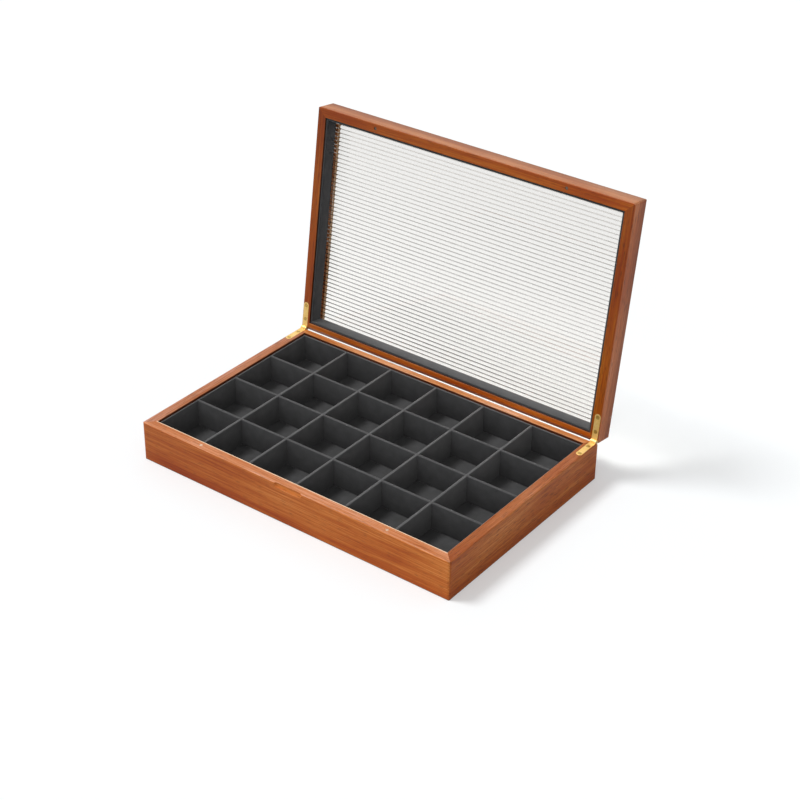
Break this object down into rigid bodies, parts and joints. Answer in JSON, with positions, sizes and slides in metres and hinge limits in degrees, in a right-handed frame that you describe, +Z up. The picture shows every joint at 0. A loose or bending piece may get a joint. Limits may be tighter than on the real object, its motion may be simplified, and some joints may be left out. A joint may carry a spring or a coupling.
{
  "type": "ring display box",
  "caption": "Shallow wooden display box with a covered tray of square cells for rings and a hinged lid framed round a clear reeded panel.",
  "frame": {"origin": "centre of the flat underside, on the surface that the box stands on", "axes": "+X to the right along the long side, +Y to the rear where the hinges are, +Z up; the lid rests open on its stops"},
  "size_m": [0.35, 0.2824, 0.2673],
  "materials": {
    "case_wood": "satin-lacquered reddish-brown stain, straight fine grain along each rail",
    "lid_wood": "satin-lacquered reddish-brown stain, straight fine grain along each rail",
    "fibreboard": "sanded fibreboard, hidden",
    "felt": "short felt on the underside",
    "microfibre": "matt charcoal microfibre over thin board",
    "microfibre_floor": "matt charcoal microfibre over board",
    "microfibre_lid": "matt charcoal microfibre over thin board",
    "acrylic": "clear cast acrylic, flat inside and ribbed outside",
    "brass": "polished yellow brass",
    "brass_screw": "turned yellow brass, slotted head",
    "steel": "drawn steel",
    "nickel": "bright nickel plating"
  },
  "bodies": {
    "base": {"base_front": "case_wood", "base_right": "case_wood", "base_back": "case_wood", "base_left": "case_wood", "bottom_board": "fibreboard", "bottom_felt": "felt", "tray_floor": "microfibre_floor", "tray_lining_front": "microfibre", "tray_lining_back": "microfibre", "tray_lining_left": "microfibre", "tray_lining_right": "microfibre", "long_divider_1": "microfibre", "long_divider_2": "microfibre", "long_divider_3": "microfibre", "cross_divider_1": "microfibre", "cross_divider_2": "microfibre", "cross_divider_3": "microfibre", "cross_divider_4": "microfibre", "cross_divider_5": "microfibre", "base_magnets": "nickel", "base_hinge_leaf_left": "brass", "base_hinge_leaf_right": "brass", "hinge_pin_left": "steel", "hinge_pin_right": "steel", "base_hinge_screws_left": "brass_screw", "base_hinge_screws_right": "brass_screw"},
    "lid": {"lid_front": "lid_wood", "lid_right": "lid_wood", "lid_back": "lid_wood", "lid_left": "lid_wood", "reeded_panel": "acrylic", "lid_lining_front": "microfibre_lid", "lid_lining_back": "microfibre_lid", "lid_lining_left": "microfibre_lid", "lid_lining_right": "microfibre_lid", "lid_magnets": "nickel", "lid_hinge_leaf_left": "brass", "lid_hinge_leaf_right": "brass", "lid_hinge_screws_left": "brass_screw", "lid_hinge_screws_right": "brass_screw"}
  },
  "joints": [
    {"name": "lid_hinge", "type": "hinge", "parent": "base", "child": "lid", "pos_m": [0, 0.1135, 0.0401], "axis": [1, 0, 0], "range_deg": [0, 97.9]}
  ]
}
